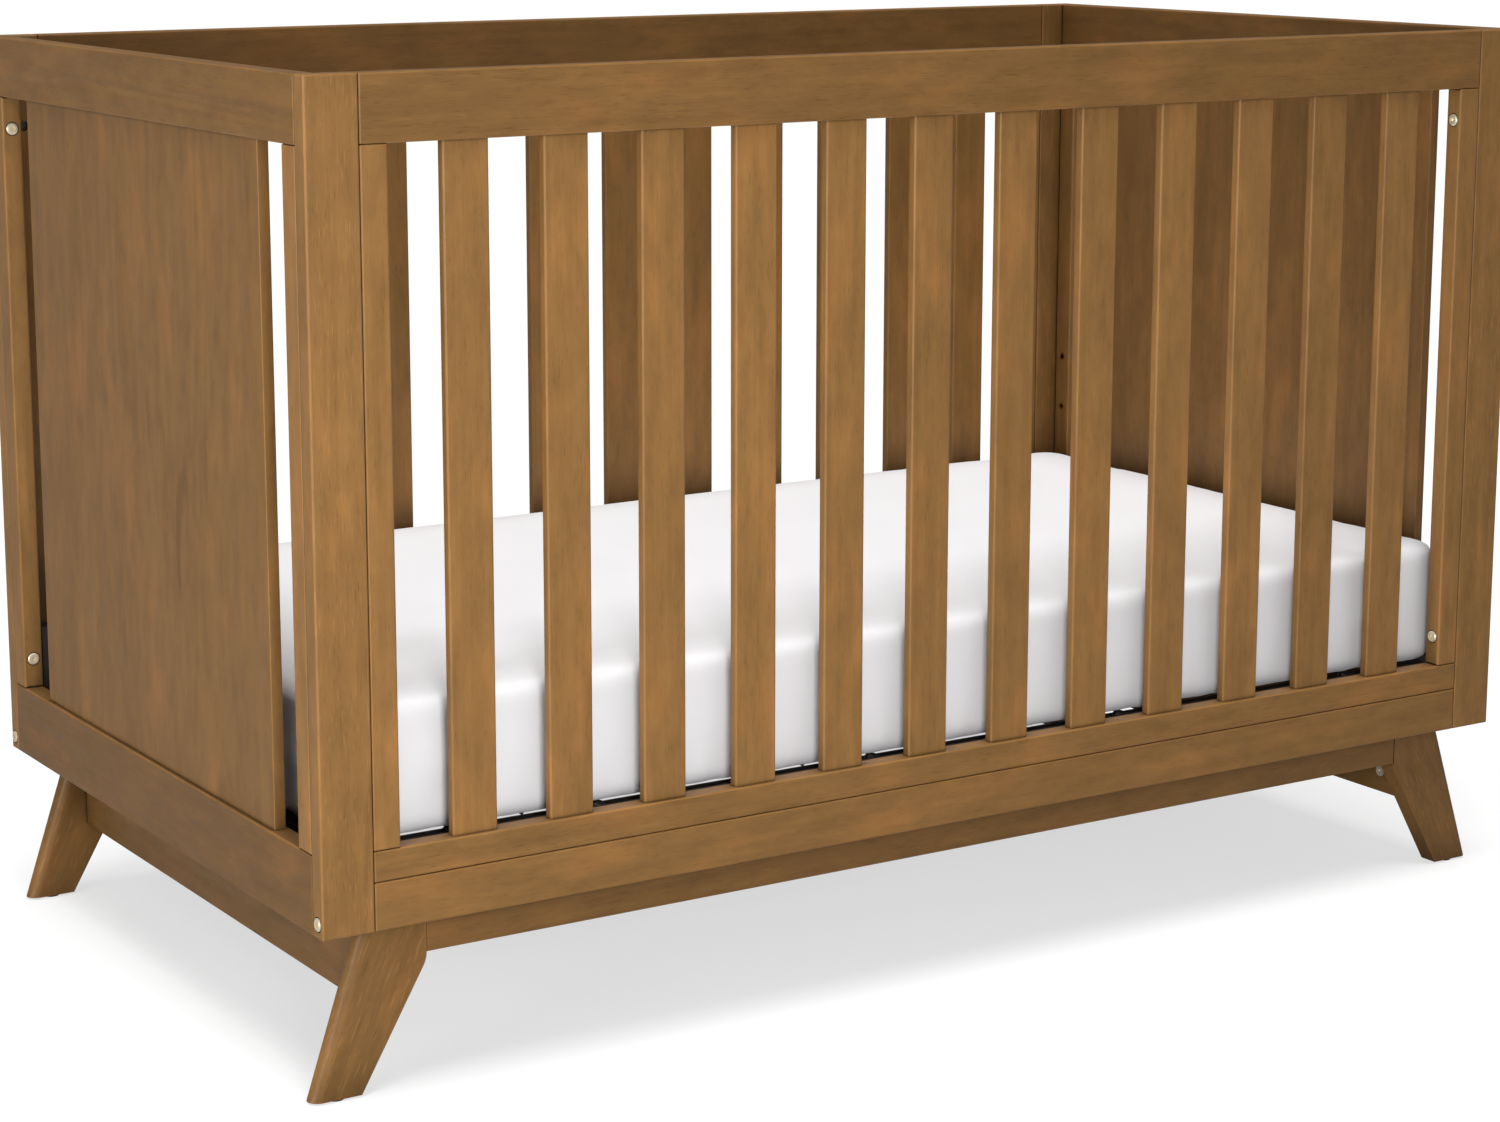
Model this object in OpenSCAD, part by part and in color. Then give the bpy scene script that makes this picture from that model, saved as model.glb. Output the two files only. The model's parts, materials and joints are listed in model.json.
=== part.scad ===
// Baby crib: two bolted end frames, two slatted sides, a splayed-leg base,
// a height-adjustable wire mattress support and a mattress.
// Units are millimetres. X runs along the length, Y from front to back, Z up.
// The origin is on the floor, under the middle of the crib.

/* [Body] */
// Length of the body, outside of the end frames
body_l = 1370; // [1364:1:1376]
// Width of the body, front face to back face
body_w = 748; // [742:1:754]
// Height of the body, without the leg base
body_h = 736; // [700:4:780]
// Clear height under the body
leg_h = 156; // [150:1:170]
// Radius of the eased edges on every board
ease = 2; // [1:0.5:2.5]

/* [End frames] */
// Thickness of an end frame
end_t = 20; // [19:1:22]
// Width of an end frame's stile
end_stile_w = 26; // [24:1:28]
// Height of an end frame's bottom rail
end_bottom_rail_h = 72; // [66:1:78]
// Thickness of the solid centre panel
end_panel_t = 11; // [9:1:12]
// Open gap between a stile and the centre panel
end_panel_gap = 58; // [50:1:59]

/* [Slatted sides] */
// Thickness of the posts and of the slatted frames
side_t = 19; // [19:1:20]
// Width of a corner post, along the crib's length
post_w = 50; // [48:1:54]
// Height of every top rail
top_rail_h = 59; // [54:1:64]
// Height of a slatted frame's bottom rail
side_bottom_rail_h = 28; // [26:1:30]
// Width of a slatted frame's end stile
side_stile_w = 26; // [24:1:30]
// Width of a slat
slat_w = 44; // [40:1:46]
// Thickness of a slat
slat_t = 10; // [8:1:11]
// How far slats and panels are let into the rails
tenon = 8; // [6:1:10]

/* [Leg base] */
// Thickness of the stretchers under the slatted frames
stretcher_t = 23; // [22:1:24]
// Thickness of a leg
leg_t = 20; // [19:1:24]
// Width of a leg's flat foot
foot_w = 48; // [44:1:52]
// How far a foot stands out past the end of the body
foot_overhang = 3; // [0:1:4]
// Inward lean of a leg's outer edge, per unit of height
leg_lean = 0.335; // [0.32:0.005:0.35]
// Distance from the body's end to a leg's upright inner edge
leg_inner = 110.5; // [106:0.5:114]
// Height of a leg above the body's underside
leg_top = 40; // [36:1:42]
// Thickness of the front and back aprons
apron_t = 18; // [16:1:20]
// How far the front and back aprons hang below the body
apron_drop = 35; // [30:1:38]
// Thickness of a side apron
side_apron_t = 17; // [15:1:18]
// Distance from the body's end to a side apron
side_apron_inset = 62; // [60:1:63]
// How far a side apron hangs below the body
side_apron_drop = 83; // [78:1:86]
// Height of all aprons above the body's underside
apron_top = 17; // [10:1:20]
// Thickness of the glide under each foot
glide_h = 2; // [1.5:0.5:3]

/* [Mattress support] */
// Number of mattress heights
support_levels = 4; // [2:1:4]
// Step from one mattress height to the next
support_step = 62; // [60:1:64]
// Height of the lowest support bolts above the body's underside
support_bolt_rise = 121; // [118:1:124]
// Height and width of the steel angle of the support frame
angle_w = 20; // [18:1:21]
// Thickness of the support's sheet steel
steel_t = 2; // [1.5:0.5:2]
// Diameter of a mesh wire
wire_d = 4; // [3:0.5:5]
// Number of mesh wires along the length
long_wires = 9; // [5:2:13]
// Number of mesh wires across the width
cross_wires = 17; // [11:2:21]
// Diameter of a mesh spring
spring_d = 9; // [8:0.5:10]

/* [Mattress] */
// Length of the mattress
mattress_l = 1310; // [1300:1:1312]
// Width of the mattress
mattress_w = 690; // [680:1:692]
// Thickness of the mattress
mattress_t = 130; // [120:1:150]
// Corner radius of the mattress, seen from above
mattress_r = 40; // [36:1:70]

/* [Fasteners] */
// Diameter of the bolt shanks
bolt_d = 6; // [5:0.5:6]
// Diameter of the bolt heads
head_d = 12; // [11:0.5:12.5]
// Thickness of the bolt heads
head_h = 3.4; // [3:0.1:4]
// Outer diameter of the threaded inserts and barrel nuts
nut_d = 10; // [9:0.5:10]

/* [Hidden] */

// Walnut-stained wood, black-coated steel, nickel, brass, nylon and cotton
walnut = [0.47, 0.33, 0.19];
walnut_dark = [0.40, 0.27, 0.16];
black_steel = [0.10, 0.10, 0.10];
nickel = [0.80, 0.76, 0.66];
brass = [0.72, 0.58, 0.34];
nylon = [0.30, 0.28, 0.26];
cotton = [0.95, 0.95, 0.96];

$fn = 32;

// Body outline
half_l = body_l / 2;
half_w = body_w / 2;
floor_z = leg_h;
top_z = leg_h + body_h;
rail_z = top_z - top_rail_h;
inner_l = half_l - end_t;
inner_w = half_w - side_t;
side_half = half_l - post_w;

// Heights and centre lines that the bolted joints share
side_mid = half_w - side_t / 2;
end_mid = half_l - end_t / 2;
lower_bolt_rise = 30;
upper_bolt_drop = 32;
bolt_heights = [floor_z + end_bottom_rail_h + lower_bolt_rise, rail_z - upper_bolt_drop];
stretcher_h = end_bottom_rail_h - side_bottom_rail_h;
stretcher_bolt_rise = 13;
stretcher_bolt_z = floor_z + stretcher_bolt_rise;
stretcher_inner = half_w - stretcher_t;

// Half the width of an end frame's centre panel
panel_half = inner_w - end_stile_w - end_panel_gap;

// Slats in each side, and their spacing between the two end stiles
slat_count = 12;
slat_span = 2 * (side_half - side_stile_w);
slat_gap = (slat_span - slat_count * slat_w) / (slat_count + 1);

// Clearances for bolts, nuts and let-in ends
bore_d = bolt_d + 0.6;
sink_d = head_d + 2;
sink_h = 2;
nut_bore_d = nut_d + 0.2;
end_gap = 0.5;
insert_l = 12;
insert_bore_l = insert_l + end_gap;
barrel_l = 12;
barrel_bore_l = side_t / 2 + barrel_l / 2 + end_gap;
barrel_inset = 18;
stretcher_barrel_inset = 23;
stretcher_barrel_bore_l = side_mid - stretcher_inner + barrel_l / 2 + end_gap;
let_in_gap = 0.1;
through = 1;
socket_w = 5.8;
socket_h = 2.2;

// Leg outline: u is the distance inwards from the body's end
leg_knee_drop = 6;
leg_knee_z = floor_z - apron_drop - leg_knee_drop;
leg_knee_r = 25;
leg_knee_angle = atan((leg_inner - foot_w + foot_overhang) / (leg_knee_z - glide_h));
leg_lean_angle = atan(leg_lean);
leg_back = stretcher_inner - leg_t;
leg_bolt_rise = 30;
leg_bolt_z = floor_z + leg_bolt_rise;
leg_bolt_step = 22;
leg_bolt_edge = 12.5;
leg_bolt_last_u = leg_inner - leg_bolt_edge;
leg_bolt_us = [leg_bolt_last_u - leg_bolt_step, leg_bolt_last_u];
leg_bolt_l = leg_t + insert_l - 1;

// Cam locks between the legs and the side aprons
apron_inner_x = half_l - side_apron_inset - side_apron_t;
cam_d = 12;
cam_l = 12.5;
cam_proud = 0.4;
cam_bore_d = cam_d + 0.2;
cam_bore_l = cam_l - cam_proud + end_gap;
cam_setback = 33;
cam_rise = 23.5;
cam_y = leg_back - cam_setback;
cam_z = floor_z - side_apron_drop + cam_rise;
stud_in = 7.5;
stud_x = apron_inner_x + stud_in;
stud_depth = 11;
stud_neck_d = 3.5;
stud_head_l = 4;

// Mattress and its support, at the lowest of the heights
mattress_rise = 66;
mattress_bottom = floor_z + mattress_rise;
soft_gap = 0.5;
support_top = mattress_bottom - soft_gap;
angle_bottom = support_top - angle_w;
support_side_gap = 2;
support_end_gap = 15;
support_half_w = inner_w - support_side_gap;
support_half_l = inner_l - support_end_gap;
support_bolt_y = inner_w - end_stile_w / 2;
support_bolt_z = floor_z + support_bolt_rise;
spring_space = 22;
mesh_half_l = support_half_l - angle_w - spring_space;
mesh_half_w = support_half_w - angle_w - spring_space;
long_pitch = 2 * mesh_half_w / (long_wires - 1);
cross_pitch = 2 * mesh_half_l / (cross_wires - 1);
hanger_gap = 1;
hanger_t = 3;
hanger_w = 22;
hanger_flange_t = 2.5;
hanger_slot_w = bolt_d + 1;
hanger_above_bolt = 12;
hanger_top = support_bolt_z + hanger_above_bolt;
hanger_rest_gap = 0.3;
hanger_x = inner_l - hanger_gap;

// ---------------------------------------------------------------- helpers

// Rectangle with rounded corners, its lowest corner at the origin
module eased_rect(w, h, r) {
    translate([r, 0])
        square([w - 2 * r, h]);
    translate([0, r])
        square([w, h - 2 * r]);
    for (x = [r, w - r], y = [r, h - r])
        translate([x, y])
            circle(r);
}

// Board between two opposite corners, with all twelve edges eased
module board(a, b, r = ease) {
    s = b - a;
    translate(a)
        intersection() {
            linear_extrude(s.z)
                eased_rect(s.x, s.y, r);
            translate([0, s.y, 0])
                rotate([90, 0, 0])
                    linear_extrude(s.y)
                        eased_rect(s.x, s.z, r);
            rotate([90, 0, 90])
                linear_extrude(s.x)
                    eased_rect(s.y, s.z, r);
        }
}

// Places a part drawn in the right rear quarter in any quarter of the crib
module quarter(sx, sy) {
    mirror([sx < 0 ? 1 : 0, 0, 0])
        mirror([0, sy < 0 ? 1 : 0, 0])
            children();
}

// The same part in all four quarters
module every_quarter() {
    for (sx = [-1, 1], sy = [-1, 1])
        quarter(sx, sy)
            children();
}

// Cylinder from p along +X
module rod_x(p, d, l) {
    translate(p)
        rotate([0, 90, 0])
            cylinder(d = d, h = l);
}

// Cylinder from p along +Y
module rod_y(p, d, l) {
    translate(p)
        rotate([-90, 0, 0])
            cylinder(d = d, h = l);
}

// Round-head bolt with a hexagon socket: shank along -Z, head above z = 0
module bolt(l) {
    crown = 0.9;
    difference() {
        union() {
            cylinder(d = head_d, h = head_h - crown);
            translate([0, 0, head_h - crown])
                cylinder(d1 = head_d, d2 = head_d - 3 * crown, h = crown);
            translate([0, 0, -l])
                cylinder(d = bolt_d, h = l);
        }
        translate([0, 0, head_h - socket_h])
            cylinder(d = socket_w, h = socket_h + through, $fn = 6);
    }
}

// Bolt with its head towards -X and its shank along +X
module bolt_x(p, l) {
    translate(p)
        rotate([0, -90, 0])
            bolt(l);
}

// Bolt with its head towards -Y and its shank along +Y
module bolt_y(p, l) {
    translate(p)
        rotate([90, 0, 0])
            bolt(l);
}

// Threaded insert from p along +Y
module insert_y(p) {
    difference() {
        rod_y(p, nut_d, insert_l);
        rod_y(p - [0, through, 0], bolt_d, insert_l + 2 * through);
    }
}

// Threaded insert from p along +X
module insert_x(p) {
    difference() {
        rod_x(p, nut_d, insert_l);
        rod_x(p - [through, 0, 0], bolt_d, insert_l + 2 * through);
    }
}

// Barrel nut that lies along Y from p, tapped along X
module barrel_nut(p) {
    difference() {
        rod_y(p, nut_d, barrel_l);
        rod_x([p.x - nut_d, side_mid, p.z], bolt_d, 2 * nut_d);
    }
}

// ------------------------------------------------------- posts and ends

// Corner post, bored for the side frame, the end frame and the stretcher
module post(sx, sy) {
    color(walnut)
        quarter(sx, sy)
            difference() {
                board([side_half, inner_w, floor_z], [half_l, half_w, top_z]);
                for (z = bolt_heights) {
                    rod_x([side_half - through, side_mid, z], bore_d, barrel_inset + nut_d);
                    rod_y([side_half + barrel_inset, inner_w - through, z],
                          nut_bore_d, barrel_bore_l + through);
                    rod_y([end_mid, inner_w - through, z], nut_bore_d, insert_bore_l + through);
                }
                rod_x([side_half - through, side_mid, stretcher_bolt_z],
                      bore_d, post_w + 2 * through);
                rod_x([half_l - sink_h, side_mid, stretcher_bolt_z], sink_d, sink_h + through);
            }
}

// Groove that holds one edge of the end panel
module panel_groove(low_z) {
    groove_w = end_panel_t + 2 * let_in_gap;
    half_groove = panel_half + let_in_gap;
    translate([end_mid - groove_w / 2, -half_groove, low_z])
        cube([groove_w, 2 * half_groove, tenon + through]);
}

// Top rail of an end frame, grooved underneath
module end_top_rail(sx) {
    color(walnut_dark)
        quarter(sx, 1)
            difference() {
                board([inner_l, -inner_w, rail_z], [half_l, inner_w, top_z]);
                panel_groove(rail_z - through);
            }
}

// Bottom rail of an end frame, grooved on top
module end_bottom_rail(sx) {
    rail_top = floor_z + end_bottom_rail_h;
    color(walnut_dark)
        quarter(sx, 1)
            difference() {
                board([inner_l, -inner_w, floor_z], [half_l, inner_w, rail_top]);
                panel_groove(rail_top - tenon);
            }
}

// Stile of an end frame, bored for its bolts and its support inserts
module end_stile(sx, sy) {
    inner_y = inner_w - end_stile_w;
    color(walnut_dark)
        quarter(sx, sy)
            difference() {
                board([inner_l, inner_y, floor_z + end_bottom_rail_h], [half_l, inner_w, rail_z]);
                for (z = bolt_heights) {
                    rod_y([end_mid, inner_y - through, z], bore_d, end_stile_w + 2 * through);
                    rod_y([end_mid, inner_y - through, z], sink_d, sink_h + through);
                }
                for (level = [0 : support_levels - 1])
                    rod_x([inner_l - through, support_bolt_y, support_bolt_z + level * support_step],
                          nut_bore_d, insert_bore_l + through);
            }
}

// Solid centre panel, let into both rails
module end_panel(sx) {
    low_z = floor_z + end_bottom_rail_h - tenon + let_in_gap;
    high_z = rail_z + tenon - let_in_gap;
    color(walnut_dark)
        quarter(sx, 1)
            board([end_mid - end_panel_t / 2, -panel_half, low_z],
                  [end_mid + end_panel_t / 2, panel_half, high_z], r = 1);
}

// -------------------------------------------------------- slatted sides

function slat_x(i) = -slat_span / 2 + slat_gap + i * (slat_w + slat_gap);

// One slat, let into both rails; play widens it where it cuts a mortise
module slat_solid(i, low_z, high_z, play = 0) {
    board([slat_x(i) - play, side_mid - slat_t / 2 - play, low_z],
          [slat_x(i) + slat_w + play, side_mid + slat_t / 2 + play, high_z]);
}

// Mortises for every slat between two heights
module mortises(low_z, high_z) {
    for (i = [0 : slat_count - 1])
        slat_solid(i, low_z, high_z, let_in_gap);
}

module slat(i) {
    slat_solid(i, floor_z + end_bottom_rail_h - tenon + let_in_gap, rail_z + tenon - let_in_gap);
}

// Top rail of a slatted frame, mortised underneath
module side_top_rail(sy) {
    color(walnut)
        quarter(1, sy)
            difference() {
                board([-side_half, inner_w, rail_z], [side_half, half_w, top_z]);
                mortises(rail_z - 2 * tenon, rail_z + tenon);
            }
}

// Bottom rail of a slatted frame, mortised on top
module side_bottom_rail(sy) {
    rail_top = floor_z + end_bottom_rail_h;
    color(walnut)
        quarter(1, sy)
            difference() {
                board([-side_half, inner_w, rail_top - side_bottom_rail_h],
                      [side_half, half_w, rail_top]);
                mortises(rail_top - tenon, rail_top + 2 * tenon);
            }
}

// End stile of a slatted frame, bored along its width for the frame bolts
module side_stile(sx, sy) {
    inner_x = side_half - side_stile_w;
    color(walnut)
        quarter(sx, sy)
            difference() {
                board([inner_x, inner_w, floor_z + end_bottom_rail_h], [side_half, half_w, rail_z]);
                for (z = bolt_heights) {
                    rod_x([inner_x - through, side_mid, z], bore_d, side_stile_w + 2 * through);
                    rod_x([inner_x - through, side_mid, z], sink_d, sink_h + through);
                }
            }
}

module front_slat(i) {
    color(walnut)
        quarter(1, -1)
            slat(i);
}

module back_slats() {
    color(walnut_dark)
        for (i = [0 : slat_count - 1])
            slat(i);
}

// ------------------------------------------------------------- leg base

// Stretcher under a slatted frame, bored for its end bolts and the legs
module stretcher(sy) {
    color(walnut)
        difference() {
            quarter(1, sy)
                board([-side_half, stretcher_inner, floor_z],
                      [side_half, half_w, floor_z + stretcher_h]);
            for (sx = [-1, 1])
                quarter(sx, sy) {
                    barrel_x = side_half - stretcher_barrel_inset;
                    rod_x([barrel_x - nut_d, side_mid, stretcher_bolt_z],
                          bore_d, stretcher_barrel_inset + nut_d + through);
                    rod_y([barrel_x, stretcher_inner - through, stretcher_bolt_z],
                          nut_bore_d, stretcher_barrel_bore_l + through);
                    for (u = leg_bolt_us)
                        rod_y([half_l - u, stretcher_inner - through, leg_bolt_z],
                              nut_bore_d, insert_bore_l + through);
                }
        }
}

// Side outline of a leg, in u and height, with a rounded knee
module leg_outline() {
    top = floor_z + leg_top;
    knee = [leg_inner, leg_knee_z];
    reach = leg_knee_r * tan(leg_knee_angle / 2);
    centre = knee + [-leg_knee_r, reach];
    knee_steps = 5;
    knee_step = leg_knee_angle / (knee_steps - 1);
    polygon(concat(
        [[-foot_overhang + leg_lean * (top - glide_h), top]],
        [[-foot_overhang, glide_h]],
        [[foot_w - foot_overhang, glide_h]],
        [for (k = [1 - knee_steps : 0])
            centre + leg_knee_r * [cos(k * knee_step), sin(k * knee_step)]],
        [[leg_inner, top]]
    ));
}

// Half-round nose along the outer edge of a leg, and everything behind it
module leg_nose() {
    nose_r = leg_t / 2;
    reach = 3 * (floor_z + leg_top);
    translate([-foot_overhang, 0, glide_h])
        rotate([0, leg_lean_angle, 0]) {
            translate([nose_r, 0, -reach / 2])
                cylinder(r = nose_r, h = reach, $fn = 48);
            translate([nose_r, -nose_r, -reach / 2])
                cube([2 * leg_inner, leg_t, reach]);
        }
}

// Splayed leg, bored for the stretcher bolts and the cam lock's stud
module leg(sx, sy) {
    color(walnut)
        quarter(sx, sy)
            difference() {
                translate([half_l, stretcher_inner - leg_t / 2, 0])
                    mirror([1, 0, 0])
                        intersection() {
                            translate([0, leg_t / 2, 0])
                                rotate([90, 0, 0])
                                    linear_extrude(leg_t)
                                        leg_outline();
                            leg_nose();
                        }
                for (u = leg_bolt_us)
                    rod_y([half_l - u, leg_back - through, leg_bolt_z],
                          bore_d, leg_t + 2 * through);
                rod_y([stud_x, leg_back - through, cam_z],
                      bolt_d, stud_depth + end_gap + through);
            }
}

// Apron between the legs, along the front or the back
module long_apron(sy) {
    color(walnut_dark)
        quarter(1, sy)
            board([-half_l + leg_inner, stretcher_inner - apron_t, floor_z - apron_drop],
                  [half_l - leg_inner, stretcher_inner, floor_z + apron_top]);
}

// Apron between a front leg and a rear leg, bored for its cam locks
module side_apron(sx) {
    color(walnut_dark)
        quarter(sx, 1)
            difference() {
                board([apron_inner_x, -leg_back, floor_z - side_apron_drop],
                      [apron_inner_x + side_apron_t, leg_back, floor_z + apron_top]);
                for (sy = [-1, 1])
                    quarter(1, sy) {
                        rod_x([apron_inner_x - through, cam_y, cam_z],
                              cam_bore_d, cam_bore_l + through);
                        rod_y([stud_x, cam_y, cam_z], bore_d, cam_setback + through);
                    }
            }
}

// Cams in the side aprons, and the studs that they pull in from the legs
module cam_locks() {
    cross_w = 1.5;
    cross_l = 7;
    cross_h = 2;
    head_y = cam_y - stud_head_l / 2;
    neck_l = stud_head_l / 2 + cam_d / 2;
    color(nickel)
        every_quarter() {
            difference() {
                rod_x([apron_inner_x - cam_proud, cam_y, cam_z], cam_d, cam_l);
                rod_y([stud_x, head_y - through, cam_z], bore_d, cam_d);
                for (turn = [0, 90])
                    translate([apron_inner_x - cam_proud, cam_y, cam_z])
                        rotate([turn, 0, 0])
                            cube([2 * cross_h, cross_w, cross_l], center = true);
            }
            rod_y([stud_x, head_y, cam_z], bolt_d, stud_head_l);
            rod_y([stud_x, cam_y, cam_z], stud_neck_d, neck_l + through);
            rod_y([stud_x, cam_y + neck_l, cam_z], bolt_d, cam_setback - neck_l + stud_depth);
        }
}

module foot_glides() {
    glide_d = leg_t - 4;
    glide_u = -foot_overhang + (foot_w + leg_t / 4) / 2;
    color(nylon)
        every_quarter()
            translate([half_l - glide_u, stretcher_inner - leg_t / 2, 0])
                cylinder(d = glide_d, h = glide_h);
}

// ----------------------------------------------------- mattress support

// Steel angle along +X from its lowest corner, with its upright web at y = 0
module angle_bar(l) {
    cube([l, steel_t, angle_w]);
    translate([0, -angle_w + steel_t, angle_w - steel_t])
        cube([l, angle_w, steel_t]);
}

module support_side_angles() {
    color(black_steel)
        for (sy = [-1, 1])
            quarter(1, sy)
                translate([-support_half_l + angle_w, support_half_w - steel_t, angle_bottom])
                    angle_bar(2 * (support_half_l - angle_w));
}

module support_end_angles() {
    color(black_steel)
        for (sx = [-1, 1])
            quarter(sx, 1)
                translate([support_half_l - steel_t, support_half_w, angle_bottom])
                    rotate([0, 0, -90])
                        angle_bar(2 * support_half_w);
}

// Two layers of straight wires, welded where they cross
module support_mesh() {
    upper_z = support_top - wire_d / 2;
    lower_z = upper_z - wire_d;
    color(black_steel) {
        for (i = [0 : long_wires - 1])
            rod_x([-mesh_half_l, -mesh_half_w + i * long_pitch, lower_z], wire_d, 2 * mesh_half_l);
        for (i = [0 : cross_wires - 1])
            rod_y([-mesh_half_l + i * cross_pitch, -mesh_half_w, upper_z], wire_d, 2 * mesh_half_w);
    }
}

// Springs between the mesh and the angle frame
module support_springs() {
    hook_gap = 2.5;
    spring_drop = 1;
    spring_l = spring_space - 2 * hook_gap;
    spring_z = support_top - spring_d / 2 - spring_drop;
    color(nickel) {
        for (i = [1 : 2 : cross_wires - 2], sy = [-1, 1])
            quarter(1, sy)
                rod_y([-mesh_half_l + i * cross_pitch, mesh_half_w + hook_gap, spring_z],
                      spring_d, spring_l);
        for (i = [1 : 2 : long_wires - 2], sx = [-1, 1])
            quarter(sx, 1)
                rod_x([mesh_half_l + hook_gap, -mesh_half_w + i * long_pitch, spring_z],
                      spring_d, spring_l);
    }
}

// Channel hangers that hook down over the support bolts
module support_brackets() {
    flange_l = hanger_x - hanger_t - support_half_l;
    slot_top = support_bolt_z + hanger_rest_gap;
    color(black_steel)
        every_quarter()
            difference() {
                union() {
                    translate([hanger_x - hanger_t, support_bolt_y - hanger_w / 2, angle_bottom])
                        cube([hanger_t, hanger_w, hanger_top - angle_bottom]);
                    for (y = [-hanger_w / 2, hanger_w / 2 - hanger_flange_t])
                        translate([support_half_l, support_bolt_y + y, angle_bottom])
                            cube([flange_l + through, hanger_flange_t, hanger_top - angle_bottom]);
                }
                rod_x([hanger_x - 2 * hanger_t, support_bolt_y, slot_top], hanger_slot_w, 3 * hanger_t);
                translate([hanger_x - 2 * hanger_t, support_bolt_y - hanger_slot_w / 2,
                           angle_bottom - through])
                    cube([3 * hanger_t, hanger_slot_w, slot_top - angle_bottom + through]);
            }
}

module mattress() {
    color(cotton)
        translate([-mattress_l / 2, -mattress_w / 2, mattress_bottom])
            linear_extrude(mattress_t)
                eased_rect(mattress_l, mattress_w, mattress_r);
}

// ------------------------------------------------------------ fasteners

// Bolts through the slatted frames' stiles into the posts
module frame_bolts() {
    color(nickel)
        every_quarter()
            for (z = bolt_heights)
                bolt_x([side_half - side_stile_w + sink_h, side_mid, z],
                       side_stile_w - sink_h + barrel_inset + nut_d / 2);
}

// Bolts through the end frames' stiles into the posts
module end_panel_bolts() {
    color(nickel)
        every_quarter()
            for (z = bolt_heights)
                bolt_y([end_mid, inner_w - end_stile_w + sink_h, z],
                       end_stile_w - sink_h + insert_l - 1);
}

// Bolts through the posts into the ends of the stretchers
module stretcher_bolts() {
    color(nickel)
        every_quarter()
            translate([half_l - sink_h, side_mid, stretcher_bolt_z])
                rotate([0, 90, 0])
                    bolt(post_w - sink_h + stretcher_barrel_inset + nut_d / 2);
}

// Bolts that hold the legs to the stretchers
module leg_bolts() {
    color(nickel)
        every_quarter()
            for (u = leg_bolt_us)
                bolt_y([half_l - u, leg_back, leg_bolt_z], leg_bolt_l);
}

// Bolts that the support hangers rest on, in the lowest inserts
module support_bolts() {
    color(nickel)
        every_quarter()
            bolt_x([hanger_x - hanger_t - hanger_rest_gap, support_bolt_y, support_bolt_z],
                   hanger_gap + hanger_t + hanger_rest_gap + insert_l - 1);
}

module barrel_nuts() {
    color(nickel)
        every_quarter() {
            for (z = bolt_heights)
                barrel_nut([side_half + barrel_inset, side_mid - barrel_l / 2, z]);
            barrel_nut([side_half - stretcher_barrel_inset, side_mid - barrel_l / 2, stretcher_bolt_z]);
        }
}

module threaded_inserts() {
    color(brass)
        every_quarter() {
            for (z = bolt_heights)
                insert_y([end_mid, inner_w, z]);
            for (u = leg_bolt_us)
                insert_y([half_l - u, stretcher_inner, leg_bolt_z]);
            for (level = [0 : support_levels - 1])
                insert_x([inner_l, support_bolt_y, support_bolt_z + level * support_step]);
        }
}

// ---------------------------------------------------------------- nodes

post(-1, -1);  // front_left_post
post(1, -1);  // front_right_post
post(-1, 1);  // rear_left_post
post(1, 1);  // rear_right_post
end_top_rail(-1);  // left_end_top_rail
end_bottom_rail(-1);  // left_end_bottom_rail
end_stile(-1, -1);  // left_end_front_stile
end_stile(-1, 1);  // left_end_rear_stile
end_panel(-1);  // left_end_panel
end_top_rail(1);  // right_end_top_rail
end_bottom_rail(1);  // right_end_bottom_rail
end_stile(1, -1);  // right_end_front_stile
end_stile(1, 1);  // right_end_rear_stile
end_panel(1);  // right_end_panel
side_top_rail(-1);  // front_top_rail
side_bottom_rail(-1);  // front_bottom_rail
side_stile(-1, -1);  // front_left_stile
side_stile(1, -1);  // front_right_stile
front_slat(0);  // front_slat_01
front_slat(1);  // front_slat_02
front_slat(2);  // front_slat_03
front_slat(3);  // front_slat_04
front_slat(4);  // front_slat_05
front_slat(5);  // front_slat_06
front_slat(6);  // front_slat_07
front_slat(7);  // front_slat_08
front_slat(8);  // front_slat_09
front_slat(9);  // front_slat_10
front_slat(10);  // front_slat_11
front_slat(11);  // front_slat_12
side_top_rail(1);  // back_top_rail
side_bottom_rail(1);  // back_bottom_rail
side_stile(-1, 1);  // back_left_stile
side_stile(1, 1);  // back_right_stile
back_slats();
stretcher(-1);  // front_stretcher
stretcher(1);  // back_stretcher
leg(-1, -1);  // front_left_leg
leg(1, -1);  // front_right_leg
leg(-1, 1);  // rear_left_leg
leg(1, 1);  // rear_right_leg
long_apron(-1);  // front_apron
long_apron(1);  // back_apron
side_apron(-1);  // left_apron
side_apron(1);  // right_apron
support_side_angles();
support_end_angles();
support_mesh();
support_springs();
support_brackets();
mattress();
frame_bolts();
end_panel_bolts();
stretcher_bolts();
leg_bolts();
support_bolts();
barrel_nuts();
threaded_inserts();
cam_locks();
foot_glides();
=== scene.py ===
import json
import math
import random

import bmesh
import bpy
import numpy as np
from mathutils import Matrix, Vector, noise


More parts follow.
